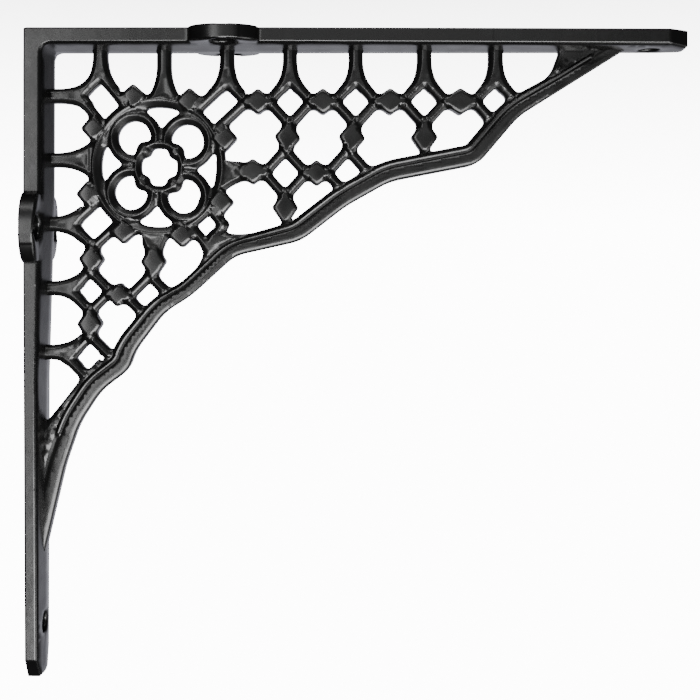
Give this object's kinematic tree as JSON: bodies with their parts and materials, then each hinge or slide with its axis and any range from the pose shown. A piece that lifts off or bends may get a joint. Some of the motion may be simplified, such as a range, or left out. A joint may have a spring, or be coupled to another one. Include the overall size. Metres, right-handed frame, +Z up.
{
  "type": "cast iron shelf bracket",
  "caption": "Right-angled cast iron shelf bracket with a pierced lattice web, a round rosette near the corner, a scalloped lower rim, and screw ears on both arms.",
  "frame": {"origin": "on the wall face, on its centre line, midway between the two ear holes of the wall arm", "axes": "+X out from the wall along the shelf arm, +Z up, +Y across the thickness; the web lies in the plane y = 0"},
  "size_m": [0.232, 0.0406, 0.227],
  "materials": {
    "painted_iron": "satin black paint over cast iron"
  },
  "bodies": {
    "root": {"bracket": "painted_iron"}
  },
  "joints": []
}
